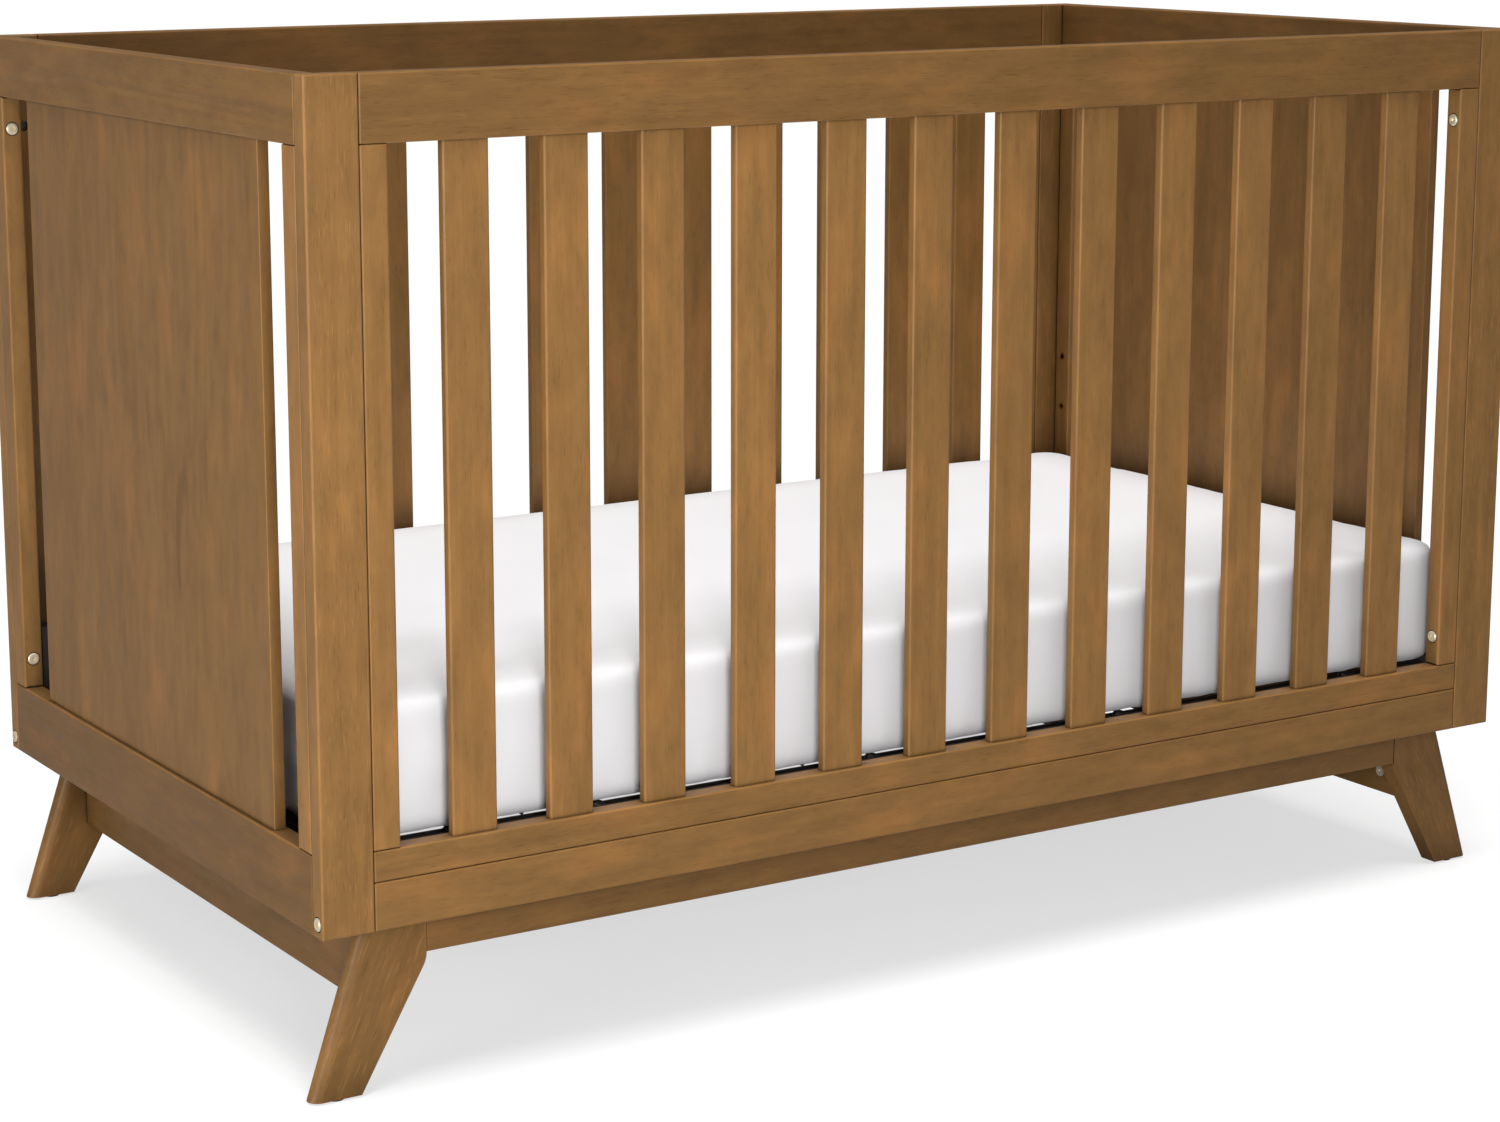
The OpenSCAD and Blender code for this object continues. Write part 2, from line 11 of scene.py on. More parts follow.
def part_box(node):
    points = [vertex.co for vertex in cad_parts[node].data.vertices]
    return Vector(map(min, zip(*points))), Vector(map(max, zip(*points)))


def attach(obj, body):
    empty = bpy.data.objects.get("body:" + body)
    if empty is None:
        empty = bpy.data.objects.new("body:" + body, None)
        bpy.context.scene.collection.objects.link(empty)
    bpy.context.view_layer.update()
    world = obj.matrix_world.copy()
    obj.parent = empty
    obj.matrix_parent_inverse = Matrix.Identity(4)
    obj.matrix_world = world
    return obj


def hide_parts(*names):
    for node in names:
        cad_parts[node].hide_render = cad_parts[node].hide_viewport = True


# Looks of a baby crib: stained wood, metals, a soft mattress and its fitted sheet.
# Metres throughout; X is the length, Y runs from front to back, Z is up.
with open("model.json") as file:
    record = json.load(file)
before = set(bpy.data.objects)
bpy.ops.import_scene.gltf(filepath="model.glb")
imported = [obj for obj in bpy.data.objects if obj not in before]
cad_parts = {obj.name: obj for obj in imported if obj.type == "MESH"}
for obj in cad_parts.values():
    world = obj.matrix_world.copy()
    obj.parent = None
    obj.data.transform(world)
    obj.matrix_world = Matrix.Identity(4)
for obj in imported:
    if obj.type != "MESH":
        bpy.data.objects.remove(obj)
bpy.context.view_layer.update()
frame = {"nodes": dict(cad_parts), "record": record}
nodes = frame["nodes"]
slot_of = {part["node"]: part["material_slot"] for part in frame["record"]["subparts"]}

MM = 0.001


# ---------------------------------------------------------------- shader graphs

def linear(r, g, b):
    """A display colour from 0 to 1 as the linear colour that shaders take."""
    return tuple(c / 12.92 if c <= 0.04045 else ((c + 0.055) / 1.055) ** 2.4 for c in (r, g, b)) + (1.0,)


class Paint:
    """One material's node graph. Each method adds a node and returns its output."""

    def __init__(self, name):
        self.material = bpy.data.materials.new(name)
        self.material.use_nodes = True
        self.tree = self.material.node_tree
        self.tree.nodes.clear()
        self.shader = self.add("ShaderNodeBsdfPrincipled")
        self.output = self.add("ShaderNodeOutputMaterial")
        self.tree.links.new(self.shader.outputs[0], self.output.inputs[0])
        self.place = self.add("ShaderNodeTexCoord").outputs["Object"]

    def add(self, kind, inputs=None, **settings):
        """Adds a node, sets its properties, and feeds its inputs by name or number."""
        node = self.tree.nodes.new(kind)
        for key, value in settings.items():
            setattr(node, key, value)
        for key, value in (inputs or {}).items():
            self.feed(node.inputs[key], value)
        return node

    def feed(self, socket, value):
        """Links another node's output to the socket, or sets the socket's own value."""
        if isinstance(value, bpy.types.NodeSocket):
            self.tree.links.new(value, socket)
        else:
            socket.default_value = value

    def set(self, **sockets):
        """Feeds the shader's sockets; an underscore in a name stands for a space."""
        for key, value in sockets.items():
            self.feed(self.shader.inputs[key.replace("_", " ")], value)

    def math(self, operation, a, b=0.0):
        return self.add("ShaderNodeMath", {0: a, 1: b}, operation=operation).outputs[0]

    def sum(self, *terms):
        total = terms[0]
        for term in terms[1:]:
            total = self.math("ADD", total, term)
        return total

    def scaled(self, vector, scale, offset=(0, 0, 0)):
        """The vector plus an offset, then times a scale on each axis."""
        moved = self.add("ShaderNodeVectorMath", {0: vector, 1: offset}, operation="ADD").outputs[0]
        return self.add("ShaderNodeVectorMath", {0: moved, 1: scale}, operation="MULTIPLY").outputs[0]

    def noise(self, vector, scale=1.0, detail=2.0, roughness=0.5, distortion=0.0):
        inputs = {"Vector": vector, "Scale": scale, "Detail": detail,
                  "Roughness": roughness, "Distortion": distortion}
        return self.add("ShaderNodeTexNoise", inputs).outputs[0]

    def range(self, value, low, high, new_low=0.0, new_high=1.0):
        """The value eased from low..high to new_low..new_high, and clamped."""
        inputs = {"Value": value, "From Min": low, "From Max": high,
                  "To Min": new_low, "To Max": new_high}
        return self.add("ShaderNodeMapRange", inputs, interpolation_type="SMOOTHSTEP").outputs[0]

    def mix(self, factor, a, b, blend="MIX"):
        node = self.add("ShaderNodeMix", data_type="RGBA", blend_type=blend)
        colours = [s for s in node.inputs if s.type == "RGBA"]
        self.feed(node.inputs["Factor"], factor)
        self.feed(colours[0], a)
        self.feed(colours[1], b)
        return [s for s in node.outputs if s.type == "RGBA"][0]

    def shade(self, colour, factor):
        """The colour times a grey factor."""
        if not isinstance(colour, bpy.types.NodeSocket):
            colour = colour[:3]
        return self.add("ShaderNodeVectorMath", {0: colour, "Scale": factor}, operation="SCALE").outputs[0]

    def bump(self, height, strength, distance):
        inputs = {"Height": height, "Strength": strength, "Distance": distance}
        return self.add("ShaderNodeBump", inputs).outputs[0]

    def eased_edges(self):
        """1 on the eased edges of a board that lies along the axes, and 0 on its flat faces."""
        normal = self.add("ShaderNodeNewGeometry").outputs["Normal"]
        local = self.add("ShaderNodeVectorTransform", {"Vector": normal}, vector_type="NORMAL",
                         convert_from="WORLD", convert_to="OBJECT").outputs[0]
        parts = self.add("ShaderNodeSeparateXYZ", {0: local}).outputs
        sizes = [self.math("ABSOLUTE", part) for part in parts]
        largest = self.math("MAXIMUM", self.math("MAXIMUM", sizes[0], sizes[1]), sizes[2])
        return self.range(largest, 0.995, 0.86)

    def bevel_edges(self, radius, samples=4):
        """1 near any sharp or rounded edge, for shapes that don't lie along the axes."""
        soft = self.add("ShaderNodeBevel", {"Radius": radius}, samples=samples).outputs[0]
        flat = self.add("ShaderNodeNewGeometry").outputs["Normal"]
        same = self.add("ShaderNodeVectorMath", {0: soft, 1: flat}, operation="DOT_PRODUCT").outputs["Value"]
        return self.range(same, 0.995, 0.86)


def dress(node, material):
    """Gives a CAD node one material in all of its slots."""
    mesh = nodes[node].data
    mesh.materials.clear()
    mesh.materials.append(material)


# ------------------------------------------------------------------------ wood

OLIVE = linear(0.538, 0.392, 0.218)
HONEY = linear(0.578, 0.408, 0.224)
UMBER = linear(0.35, 0.23, 0.12)
GOLD = linear(0.74, 0.53, 0.31)
LEG_LEAN = 0.42
# Painted shade in the seams between boards and in inner corners: how far the occlusion looks, and how dark
# it paints.
SEAM_SHADE_REACH, SEAM_PAINTED_SHADE = 3.5 * MM, 0.22
CORNER_SHADE_REACH, CORNER_PAINTED_SHADE = 60 * MM, 0.48


def walnut(name, grain, seed, tone_and_shade=1.0, honey=0.5, dashes=0.0, lean=0.0, edges="eased"):
    """Satin walnut-stained maple.

    grain is the axis the board is cut along, tone_and_shade its brightness, a random spread times the
    painted shade of its kind of board, honey how warm it is, dashes how strongly its pores show as light
    ticks, and lean the angle of the grain from Z.
    """
    paint = Paint(name)
    place = paint.place
    if lean:
        place = paint.add("ShaderNodeVectorRotate", {"Vector": place, "Angle": lean},
                          rotation_type="Y_AXIS").outputs[0]
    x, y, z = paint.add("ShaderNodeSeparateXYZ", {0: place}).outputs
    order = {"x": (x, y, z), "y": (y, z, x), "z": (z, x, y)}[grain]
    board = paint.add("ShaderNodeCombineXYZ", dict(enumerate(order))).outputs[0]
    shift = (seed * 3.17, seed * 1.73, seed * 2.39)

    def grained(along, across, detail=2.0, roughness=0.5, distortion=0.0):
        return paint.noise(paint.scaled(board, (along, across, across), shift),
                           detail=detail, roughness=roughness, distortion=distortion)

    blotch = grained(9, 26, distortion=0.3)
    mottle = grained(26, 75, detail=3.0, roughness=0.6)
    cloud = grained(3.2, 7, detail=1.0)
    figure = grained(1.3, 11, detail=1.2, distortion=0.25)
    rings = paint.math("SINE", paint.math("MULTIPLY", figure, 52.0))
    streak = grained(3.2, 150, detail=3.0, roughness=0.6)
    fibre = grained(16, 900)
    pores = paint.range(grained(70, 1150, detail=1.0), 0.60, 0.74)
    smudge = paint.range(grained(4.2, 30, detail=1.5, distortion=0.6), 0.68, 0.80)

    warmth = paint.range(paint.sum(paint.math("MULTIPLY", blotch, 0.7), paint.math("MULTIPLY", cloud, 0.3)),
                         0.62 - 0.24 * honey, 0.80 - 0.24 * honey)
    colour = paint.mix(warmth, OLIVE, HONEY)
    colour = paint.mix(paint.math("MULTIPLY", smudge, 0.35), colour, UMBER)
    light = paint.sum(
        0.42 * tone_and_shade,
        paint.math("MULTIPLY", blotch, 0.28 * tone_and_shade),
        paint.math("MULTIPLY", mottle, 0.48 * tone_and_shade),
        paint.math("MULTIPLY", rings, 0.038 * tone_and_shade),
        paint.math("MULTIPLY", streak, 0.32 * tone_and_shade),
        paint.math("MULTIPLY", fibre, 0.12 * tone_and_shade),
        paint.math("MULTIPLY", pores, -0.22 * tone_and_shade),
    )
    colour = paint.shade(colour, light)
    if dashes:
        ticks = paint.range(grained(48, 620, detail=1.0), 0.62, 0.72)
        colour = paint.mix(paint.math("MULTIPLY", ticks, dashes), colour, GOLD)
    rim = paint.eased_edges() if edges == "eased" else paint.bevel_edges(2.5 * MM)
    # The eased edges are lightened towards gold: partly wear, where the stain is thinner, and partly a
    # painted highlight along the edges.
    edge_lightening = paint.math("MULTIPLY", rim, paint.range(grained(20, 60), 0.3, 0.7, 0.05, 0.22))
    colour = paint.mix(edge_lightening, colour, GOLD)
    # Painted shade: the colour is darkened where ambient occlusion finds nearby surfaces, in the seams and
    # in the inner corners and recesses.
    for reach, darkest in ((SEAM_SHADE_REACH, SEAM_PAINTED_SHADE), (CORNER_SHADE_REACH, CORNER_PAINTED_SHADE)):
        occlusion_for_shade = paint.add("ShaderNodeAmbientOcclusion", {"Distance": reach}, samples=6).outputs["AO"]
        colour = paint.shade(colour, paint.range(occlusion_for_shade, 0.25, 0.92, darkest, 1.0))

    height = paint.sum(
        paint.math("MULTIPLY", fibre, 0.5),
        paint.math("MULTIPLY", streak, 0.35),
        paint.math("MULTIPLY", pores, -0.6),
    )
    paint.set(
        Base_Color=colour,
        Roughness=paint.range(streak, 0.2, 0.8, 0.36, 0.52),
        Specular_IOR_Level=0.18,
        Coat_Weight=0.03,
        Coat_Roughness=0.28,
        Normal=paint.bump(height, 0.22, 0.15 * MM),
    )
    return paint.material


WOOD_SLOTS = {"walnut_post", "walnut_rail", "walnut_slat", "walnut_panel"}
GRAIN = {"back_slats": "z", "left_end_panel": "z", "right_end_panel": "z"}
# Painted shade: each kind of board is painted darker than the slats by its factor, standing in for the shade
# it gets.
BOARD_PAINTED_SHADE = {"end_top_rail": 0.76, "end_bottom_rail": 0.68, "top_rail": 0.82, "bottom_rail": 0.84,
               "stretcher": 0.84, "leg": 0.78, "apron": 0.72, "panel": 0.86}


def long_axis(node):
    """The axis that a board is longest along."""
    low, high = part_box(node)
    size = high - low
    return "xyz"[max(range(3), key=lambda i: size[i])]


def board_painted_shade(node):
    """Painted shade for this kind of board: the level boards and the base are painted darker than the slats.
    """
    for ending, tone_and_shade in BOARD_PAINTED_SHADE.items():
        if node.endswith(ending):
            return tone_and_shade
    return 1.0


def dress_wood():
    """Gives every board its own cut of the stained wood."""
    chance = random.Random(11)
    for seed, node in enumerate(sorted(n for n in nodes if slot_of[n] in WOOD_SLOTS)):
        # A random spread of the wood's brightness, times the painted shade for this kind of board.
        tone_and_shade = chance.uniform(0.95, 1.05) * board_painted_shade(node)
        honey = chance.uniform(0.35, 0.65)
        slot = slot_of[node]
        settings = {"dashes": 0.25 if slot == "walnut_post" else 0.06}
        grain = GRAIN.get(node, long_axis(node))
        if node.endswith("_leg"):
            side = 1 if "right" in node else -1
            settings.update(lean=side * LEG_LEAN, edges="bevel")
            grain = "z"
        dress(node, walnut(f"{node}_wood", grain, seed + 1, tone_and_shade, honey, **settings))


# ---------------------------------------------------------- metals and plastics

def metal(name, colour, roughness, metallic, brush, bump, scale, edge_lightening=None):
    """Plated or painted metal with fine brushing and faint stains. edge_lightening is the colour of its
    rubbed edges.
    """
    paint = Paint(name)
    grain = paint.noise(paint.scaled(paint.place, (1.0, 1.0, 6.0)), scale, 3.0, 0.6)
    stain = paint.noise(paint.place, 60.0, 2.0, 0.55, 0.3)
    shade = paint.sum(0.93 - brush / 2, paint.math("MULTIPLY", grain, brush),
                      paint.math("MULTIPLY", stain, 0.12))
    tint = paint.shade(colour, shade)
    if edge_lightening:
        tint = paint.mix(paint.math("MULTIPLY", paint.bevel_edges(0.5 * MM), 0.5), tint, edge_lightening)
    paint.set(
        Base_Color=tint,
        Metallic=metallic,
        Roughness=paint.range(stain, 0.25, 0.75, roughness - 0.05, roughness + 0.09),
        Normal=paint.bump(grain, bump, 0.05 * MM),
    )
    return paint.material


def plastic(name, colour):
    """Moulded nylon with a fine texture."""
    paint = Paint(name)
    fine = paint.noise(paint.place, 1400.0, 2.0)
    dust = paint.noise(paint.place, 140.0, 3.0, 0.6)
    paint.set(
        Base_Color=paint.shade(colour, paint.range(dust, 0.2, 0.8, 0.85, 1.15)),
        Roughness=paint.range(dust, 0.3, 0.7, 0.5, 0.68),
        Normal=paint.bump(fine, 0.25, 0.1 * MM),
    )
    return paint.material


def dress_hardware():
    """Gives the metal and nylon nodes their finishes, and returns them by slot."""
    finishes = {
        "black_steel": metal("black_powder_coat", linear(0.135, 0.105, 0.08), 0.55, 0.1, 0.25, 0.35,
                             1500.0, linear(0.24, 0.20, 0.17)),
        "zinc": metal("dull_zinc_plate", linear(0.38, 0.37, 0.36), 0.45, 1.0, 0.08, 0.08, 700.0),
        "nickel": metal("champagne_nickel", linear(0.90, 0.85, 0.74), 0.42, 0.7, 0.06, 0.06, 1200.0),
        "brass": metal("brass_insert", linear(0.79, 0.62, 0.34), 0.30, 1.0, 0.10, 0.10, 1100.0),
        "nylon": plastic("dark_nylon", linear(0.20, 0.17, 0.14)),
    }
    for node in sorted(nodes):
        if slot_of[node] in finishes:
            dress(node, finishes[slot_of[node]])
    return finishes


# -------------------------------------------------------------------- meshes

def coat(mesh, material):
    """Gives a mesh one material and smooth shading."""
    mesh.materials.clear()
    mesh.materials.append(material)
    for face in mesh.polygons:
        face.use_smooth = True


def piece(name, mesh, material, body):
    """A new object from a mesh, riding on a CAD body."""
    made = bpy.data.objects.new(name, mesh)
    bpy.context.scene.collection.objects.link(made)
    coat(mesh, material)
    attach(made, body)
    return made


def mesh_from(name, points, faces):
    """A mesh from its points and the faces' point numbers."""
    mesh = bpy.data.meshes.new(name)
    mesh.from_pydata([tuple(p) for p in points], [], faces)
    mesh.validate()
    return mesh


def evaluated_mesh(obj):
    """A copy of the object's mesh with its modifiers applied."""
    graph = bpy.context.evaluated_depsgraph_get()
    graph.update()
    return bpy.data.meshes.new_from_object(obj.evaluated_get(graph))


def positions(mesh):
    """The mesh's points as an array with three columns."""
    values = np.empty(len(mesh.vertices) * 3)
    mesh.vertices.foreach_get("co", values)
    return values.reshape(-1, 3)


def tube(path, radius, sides):
    """Points and faces of a round tube with closed ends along a path, without twist."""
    last = len(path) - 1
    points, faces = [], []
    across = (path[1] - path[0]).orthogonal()
    for i, spot in enumerate(path):
        along = (path[min(i + 1, last)] - path[max(i - 1, 0)]).normalized()
        across = (across - along * across.dot(along)).normalized()
        other = along.cross(across)
        for k in range(sides):
            turn = math.tau * k / sides
            points.append(spot + radius * (math.cos(turn) * across + math.sin(turn) * other))
    for i in range(last):
        near, far = i * sides, (i + 1) * sides
        for k in range(sides):
            after = (k + 1) % sides
            faces.append((near + k, near + after, far + after, far + k))
    faces.append(tuple(reversed(range(sides))))
    faces.append(tuple(range(last * sides, len(points))))
    return points, faces


# ------------------------------------------------------------------- springs

WIRE = 0.6 * MM
WIRE_SIDES = 6
COIL_TURNS = 8
COIL_STEPS = 14
COIL_INSET = 1.8 * MM
HOOK_REACH = 2.4 * MM


def loose_boxes(mesh):
    """The box of each separate solid in a mesh."""
    builder = bmesh.new()
    builder.from_mesh(mesh)
    left = set(builder.verts)
    boxes = []
    while left:
        front = [left.pop()]
        spots = []
        while front:
            vertex = front.pop()
            spots.append(vertex.co.copy())
            for edge in vertex.link_edges:
                other = edge.other_vert(vertex)
                if other in left:
                    left.remove(other)
                    front.append(other)
        boxes.append(tuple(Vector(pick(spot[k] for spot in spots) for k in range(3)) for pick in (min, max)))
    builder.free()
    return sorted(boxes, key=lambda box: tuple(box[0]))


def spring_path(start, end, radius):
    """Centre line of an extension spring along a line, with an open hook past each end."""
    along = (end - start).normalized()
    up = Vector((0, 0, 1))
    side = along.cross(up)
    loop = radius * 0.75
    inner = loop - HOOK_REACH

    def hook(centre, ahead):
        turns = [math.radians(a) for a in range(-100, 100, 20)]
        return [centre + loop * (math.cos(a) * ahead - math.sin(a) * up) for a in turns]

    path = list(reversed(hook(start + inner * along, -along)))
    steps = COIL_STEPS * COIL_TURNS
    coil_start, coil_end = start + COIL_INSET * along, end - COIL_INSET * along
    for k in range(steps + 1):
        turn = math.tau * k / COIL_STEPS
        spot = coil_start.lerp(coil_end, k / steps)
        path.append(spot + radius * (math.cos(turn) * up + math.sin(turn) * side))
    return path + hook(end - inner * along, along)


def make_springs(finish):
    """Coil springs between the wire mesh and its angle frame."""
    points, faces = [], []
    for low, high in loose_boxes(nodes["support_springs"].data):
        size = high - low
        axis = 0 if size.x > size.y else 1
        centre = (low + high) / 2
        start, end = centre.copy(), centre.copy()
        start[axis], end[axis] = low[axis], high[axis]
        spots, quads = tube(spring_path(start, end, size.z / 2 - WIRE), WIRE, WIRE_SIDES)
        faces += [tuple(k + len(points) for k in quad) for quad in quads]
        points += spots
    springs = piece("coil_springs", mesh_from("coil_springs", points, faces), finish, "mattress_support")
    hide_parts("support_springs")


# ----------------------------------------------------- mattress and its sheet

def rounded_outline(half_x, half_y, radius, steps=12):
    """Points round a rectangle with rounded corners, anticlockwise."""
    points = []
    for quarter, (sx, sy) in enumerate([(1, 1), (-1, 1), (-1, -1), (1, -1)]):
        for k in range(steps + 1):
            turn = math.radians(90 * (quarter + k / steps))
            points.append((sx * (half_x - radius) + radius * math.cos(turn),
                           sy * (half_y - radius) + radius * math.sin(turn)))
    return points


def rounded_slab(name, low, high, corner, edge):
    """A closed slab with rounded corners in plan and rounded top and bottom edges."""
    half_x, half_y = (high.x - low.x) / 2, (high.y - low.y) / 2
    centre = (low + high) / 2
    arc = [math.radians(15 * k) for k in range(7)]
    profile = [(edge * (1 - math.sin(a)), low.z + edge * (1 - math.cos(a))) for a in arc]
    profile += [(inset, low.z + high.z - z) for inset, z in reversed(profile)]
    points, faces = [], []
    for inset, z in profile:
        ring = rounded_outline(half_x - inset, half_y - inset, corner - inset)
        points += [(centre.x + x, centre.y + y, z) for x, y in ring]
    around = len(points) // len(profile)
    for row in range(len(profile) - 1):
        for k in range(around):
            after = (k + 1) % around
            a, b = row * around, (row + 1) * around
            faces.append((a + k, a + after, b + after, b + k))
    faces.append(tuple(reversed(range(around))))
    faces.append(tuple(range(len(points) - around, len(points))))
    return mesh_from(name, points, faces)


def remeshed(obj, voxel):
    """Gives the object an even mesh of small faces."""
    modifier = obj.modifiers.new("even", "REMESH")
    modifier.mode = "VOXEL"
    modifier.voxel_size = voxel
    mesh = evaluated_mesh(obj)
    obj.modifiers.clear()
    obj.data = mesh


def inflate(obj, pressure, cap, frames=20):
    """Swells the object as pressed foam by cloth simulation, and caps how far a point may move."""
    before = positions(obj.data)
    cloth = obj.modifiers.new("swell", "CLOTH")
    cloth.settings.quality = 5
    cloth.settings.mass = 0.3
    cloth.settings.tension_stiffness = 25
    cloth.settings.compression_stiffness = 25
    cloth.settings.bending_stiffness = 2.0
    cloth.settings.use_pressure = True
    cloth.settings.uniform_pressure_force = pressure
    cloth.settings.effector_weights.gravity = 0
    cloth.point_cache.frame_start = 1
    cloth.point_cache.frame_end = frames
    scene = bpy.context.scene
    for step in range(1, frames + 1):
        scene.frame_set(step)
    after = positions(evaluated_mesh(obj))
    obj.modifiers.clear()
    scene.frame_set(1)
    moved = after - before
    far = np.maximum(np.linalg.norm(moved, axis=1, keepdims=True), 1e-9)
    settled = before + moved * np.minimum(1, cap / far)
    obj.data.vertices.foreach_set("co", settled.ravel())
    obj.data.update()


THREAD_PITCH = 0.7 * MM


def cotton(name):
    """White percale: a fine plain weave, soft sheen and faint shadows of its folds."""
    paint = Paint(name)
    x, y, z = paint.add("ShaderNodeSeparateXYZ", {0: paint.place}).outputs
    threads = [paint.math("SINE", paint.math("MULTIPLY", axis, math.tau / THREAD_PITCH))
               for axis in (x, y, z)]
    weave = paint.math("MULTIPLY", paint.math("ADD", threads[0], threads[2]), threads[1])
    slub = paint.noise(paint.scaled(paint.place, (40, 900, 900)), 1.0, 2.0)
    cloud = paint.noise(paint.place, 9.0, 2.0)
    crease = paint.noise(paint.place, 45.0, 3.0, 0.6)
    shade = paint.sum(0.955, paint.math("MULTIPLY", cloud, 0.03), paint.math("MULTIPLY", slub, 0.02))
    height = paint.sum(paint.math("MULTIPLY", weave, 0.25), paint.math("MULTIPLY", slub, 0.3),
                       paint.math("MULTIPLY", crease, 1.2))
    paint.set(
        Base_Color=paint.shade(linear(0.955, 0.955, 0.965), shade),
        Roughness=0.86,
        Sheen_Weight=0.25,
        Sheen_Roughness=0.5,
        Normal=paint.bump(height, 0.25, 0.3 * MM),
    )
    return paint.material


def wipe_clean_vinyl(name):
    """The mattress's own cover: white wipe-clean vinyl with an embossed leather-like grain."""
    paint = Paint(name)
    cells = paint.add("ShaderNodeTexVoronoi", {"Vector": paint.place, "Scale": 420.0}).outputs["Distance"]
    cloud = paint.noise(paint.place, 7.0, 2.0)
    paint.set(
        Base_Color=paint.shade(linear(0.90, 0.915, 0.94), paint.range(cloud, 0.2, 0.8, 0.95, 1.0)),
        Roughness=paint.range(cells, 0.0, 0.6, 0.42, 0.55),
        Normal=paint.bump(cells, 0.2, 0.2 * MM),
    )
    return paint.material


MATTRESS_LOW, MATTRESS_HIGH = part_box("mattress")
PAD_INSET = 4 * MM
PAD_LIFT = 3 * MM
PAD_CORNER = 38 * MM
PAD_EDGE = 10 * MM
PAD_VOXEL = 7 * MM
PAD_SWELL = 4 * MM
TUCK = 75 * MM
SHEET_GAP = 1.3 * MM
SHEET_THICK = 0.5 * MM
SHEET_FLOOR = 0.3 * MM
UNDER_WAVES = 0.9 * MM
UNDER_TIGHT = 0.2 * MM
SIDE_WAVES = 0.9 * MM
HEM_GATHERS = 2.2 * MM
CORNER_GATHERS = 1.3 * MM
LOOSE_WAVES = 0.35 * MM
HEM_WANDER = 4 * MM


def plan_depth(points):
    """How far each point is inside the mattress's outline in plan, the outline's nearest point, and whether
    that point is on a corner."""
    half = np.array([(MATTRESS_HIGH.x - MATTRESS_LOW.x) / 2, (MATTRESS_HIGH.y - MATTRESS_LOW.y) / 2])
    core = half - PAD_CORNER
    flat = np.abs(points[:, :2])
    past = flat - core
    outside = np.linalg.norm(np.maximum(past, 0), axis=1)
    depth = PAD_CORNER - np.where((past > 0).any(axis=1), outside, past.max(axis=1))
    base = np.minimum(flat, core)
    away = flat - base
    inner = (past <= 0).all(axis=1)
    nearest_x = past[:, 0] > past[:, 1]
    away[inner & nearest_x] = (1, 0)
    away[inner & ~nearest_x] = (0, 1)
    base[inner & nearest_x, 0] = core[0]
    base[inner & ~nearest_x, 1] = core[1]
    away /= np.maximum(np.linalg.norm(away, axis=1, keepdims=True), 1e-9)
    edge = (base + PAD_CORNER * away) * np.where(points[:, :2] < 0, -1, 1)
    corner = (past > 0).all(axis=1)
    return depth, edge, corner


def make_mattress():
    """The foam mattress in its wipe-clean cover, firm and slightly crowned."""
    low = MATTRESS_LOW + Vector((PAD_INSET, PAD_INSET, PAD_LIFT))
    high = MATTRESS_HIGH - Vector((PAD_INSET, PAD_INSET, PAD_INSET))
    cover = wipe_clean_vinyl("mattress_cover")
    mesh = rounded_slab("mattress_pad", low, high, PAD_CORNER - PAD_INSET, PAD_EDGE)
    pad = piece("mattress_pad", mesh, cover, "mattress")
    remeshed(pad, PAD_VOXEL)
    inflate(pad, pressure=4.0, cap=PAD_SWELL)
    points = positions(pad.data)
    points[:, 2] = np.maximum(points[:, 2], low.z)
    pad.data.vertices.foreach_set("co", points.ravel())
    coat(pad.data, cover)
    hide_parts("mattress")
    return pad


def make_sheet(pad):
    """A fitted sheet: the pad's own skin, a little proud, with gathers at the corners and the hem."""
    grown = pad.copy()
    grown.data = pad.data.copy()
    bpy.context.scene.collection.objects.link(grown)
    finer = grown.modifiers.new("finer", "SUBSURF")
    finer.levels = 1
    skin = evaluated_mesh(grown)
    bpy.data.objects.remove(grown)
    points = positions(skin)
    normals = np.empty(len(skin.vertices) * 3)
    skin.vertices.foreach_get("normal", normals)
    normals = normals.reshape(-1, 3)
    depth, edge, corner = plan_depth(points)
    low_z, high_z = points[:, 2].min(), points[:, 2].max()
    height = (points[:, 2] - low_z) / (high_z - low_z)
    under = normals[:, 2] < -0.6
    push = np.full(len(points), SHEET_GAP)
    for i, (spot, rim) in enumerate(zip(points, edge)):
        around = Vector((rim[0], rim[1], 0))
        if under[i]:
            push[i] += UNDER_WAVES * noise.noise(around * 55) - UNDER_TIGHT
        else:
            side = 1 - min(1.0, max(0.0, abs(normals[i][2]) * 1.4))
            slack = side * (1.15 - height[i])
            push[i] += SIDE_WAVES * slack * noise.noise(around * 13 + Vector((0, 0, spot[2] * 5)))
            push[i] += HEM_GATHERS * side * (1 - height[i]) ** 6 * noise.noise(around * 62)
            push[i] += LOOSE_WAVES * noise.noise(Vector(spot) * 6)
            if corner[i]:
                push[i] += CORNER_GATHERS * slack * noise.noise(around * 70 + Vector((0, 0, spot[2] * 9)))
    points += normals * push[:, None]
    points[:, 2] = np.maximum(points[:, 2], MATTRESS_LOW.z + SHEET_FLOOR)
    skin.vertices.foreach_set("co", points.ravel())
    builder = bmesh.new()
    builder.from_mesh(skin)
    builder.verts.ensure_lookup_table()
    dropped = [v for v in builder.verts
               if under[v.index] and depth[v.index] > TUCK + HEM_WANDER * noise.noise(v.co * 9)]
    bmesh.ops.delete(builder, geom=dropped, context="VERTS")
    builder.to_mesh(skin)
    builder.free()
    sheet = piece("fitted_sheet", skin, cotton("white_percale"), "mattress")
    thick = sheet.modifiers.new("cloth", "SOLIDIFY")
    thick.thickness = SHEET_THICK
    thick.offset = -1


# ---------------------------------------------------- studio, light and camera

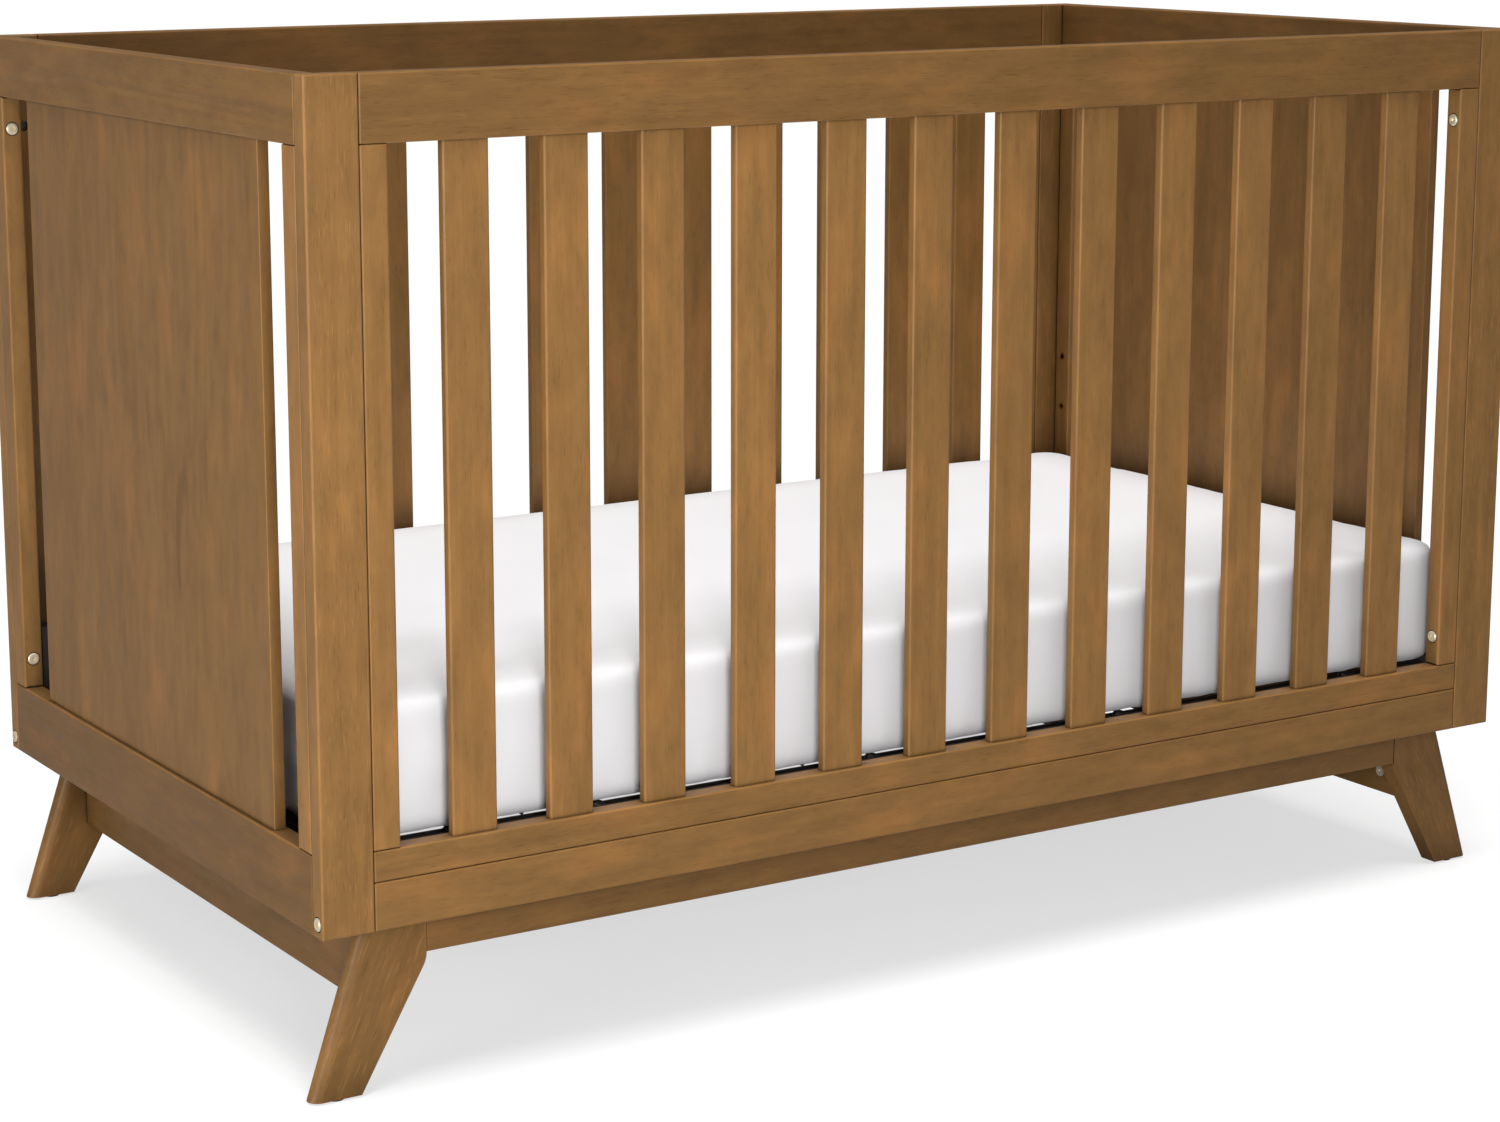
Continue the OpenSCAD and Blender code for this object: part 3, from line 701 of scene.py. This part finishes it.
CAMERA_PLACE = (-1.826, -2.819, 1.060)
CAMERA_YAW, CAMERA_PITCH, CAMERA_ROLL = 31.92, 10.74, 0.08
CAMERA_LENS = 78.79
CAMERA_SHIFT = (0.0317, -0.05)
WORLD_LIGHT = 0.20
FLOOR_HALF = 60.0
FLOOR_WHITE = 0.38
FLOOR_GLOW = 0.62


def make_camera():
    """Looks at the crib from its front left, at about the height of its top rail."""
    data = bpy.data.cameras.new("camera")
    data.lens = CAMERA_LENS
    data.sensor_width = 36
    data.shift_x, data.shift_y = CAMERA_SHIFT
    camera = bpy.data.objects.new("camera", data)
    bpy.context.scene.collection.objects.link(camera)
    yaw, pitch, roll = (math.radians(a) for a in (CAMERA_YAW, CAMERA_PITCH, CAMERA_ROLL))
    look = Vector((math.sin(yaw) * math.cos(pitch), math.cos(yaw) * math.cos(pitch), -math.sin(pitch)))
    right = Vector((math.cos(yaw), -math.sin(yaw), 0))
    down = look.cross(right)
    turned_right = math.cos(roll) * right + math.sin(roll) * down
    turned_down = math.cos(roll) * down - math.sin(roll) * right
    axes = Matrix((turned_right, -turned_down, -look)).transposed()
    camera.matrix_world = Matrix.Translation(CAMERA_PLACE) @ axes.to_4x4()
    bpy.context.scene.camera = camera


def make_light(name, kind, place, target, energy, size):
    """A white light aimed at a target. Its size is an angle for the sun, and two lengths for a panel."""
    data = bpy.data.lights.new(name, kind)
    data.energy = energy
    if kind == "SUN":
        data.angle = size
    else:
        data.shape = "RECTANGLE"
        data.size, data.size_y = size
    light = bpy.data.objects.new(name, data)
    light.location = place
    light.rotation_euler = (Vector(target) - Vector(place)).to_track_quat("-Z", "Y").to_euler()
    bpy.context.scene.collection.objects.link(light)


def make_studio():
    """A white cove: a pale floor without an end, and soft light from all round."""
    scene = bpy.context.scene
    scene.view_settings.view_transform = "Standard"
    world = bpy.data.worlds.new("studio")
    world.use_nodes = True
    tree = world.node_tree
    tree.nodes.clear()
    seen, lit = tree.nodes.new("ShaderNodeBackground"), tree.nodes.new("ShaderNodeBackground")
    seen.inputs["Strength"].default_value = 1.0
    lit.inputs["Strength"].default_value = WORLD_LIGHT
    chosen, ray = tree.nodes.new("ShaderNodeMixShader"), tree.nodes.new("ShaderNodeLightPath")
    output = tree.nodes.new("ShaderNodeOutputWorld")
    for node in (seen, lit):
        node.inputs["Color"].default_value = (1, 1, 1, 1)
    tree.links.new(ray.outputs["Is Camera Ray"], chosen.inputs[0])
    tree.links.new(lit.outputs[0], chosen.inputs[1])
    tree.links.new(seen.outputs[0], chosen.inputs[2])
    tree.links.new(chosen.outputs[0], output.inputs[0])
    scene.world = world

    make_light("overhead", "SUN", (-0.4, -0.6, 5.0), (0, 0, 0.4), 2.95, math.radians(35))
    make_light("front", "AREA", (-1.1, -2.15, 0.7), (0.0, 0, 0.5), 23, (0.5, 0.5))
    make_light("left", "AREA", (-3.3, -1.2, 0.65), (-0.5, 0, 0.5), 42, (1.0, 0.8))

    corners = [(FLOOR_HALF * sx, FLOOR_HALF * sy, 0) for sx, sy in ((-1, -1), (1, -1), (1, 1), (-1, 1))]
    mesh = mesh_from("floor", corners, [(0, 1, 2, 3)])
    floor = bpy.data.objects.new("floor", mesh)
    scene.collection.objects.link(floor)
    paint = Paint("studio_floor")
    cloud = paint.noise(paint.place, 1.5, 2.0)
    paint.set(
        Base_Color=paint.shade((FLOOR_WHITE,) * 3, paint.range(cloud, 0.2, 0.8, 0.99, 1.0)),
        Roughness=0.9,
        Specular_IOR_Level=0.1,
    )
    glow = paint.add("ShaderNodeEmission", {"Strength": FLOOR_GLOW})
    direct = paint.add("ShaderNodeLightPath").outputs["Is Camera Ray"]
    shown = paint.add("ShaderNodeMixShader", {0: direct})
    both = paint.add("ShaderNodeAddShader", {0: paint.shader.outputs[0], 1: glow.outputs[0]})
    paint.feed(shown.inputs[1], paint.shader.outputs[0])
    paint.feed(shown.inputs[2], both.outputs[0])
    paint.feed(paint.output.inputs[0], shown.outputs[0])
    mesh.materials.append(paint.material)


make_camera()
make_studio()
dress_wood()
finishes = dress_hardware()
make_springs(finishes["zinc"])
pad = make_mattress()
make_sheet(pad)
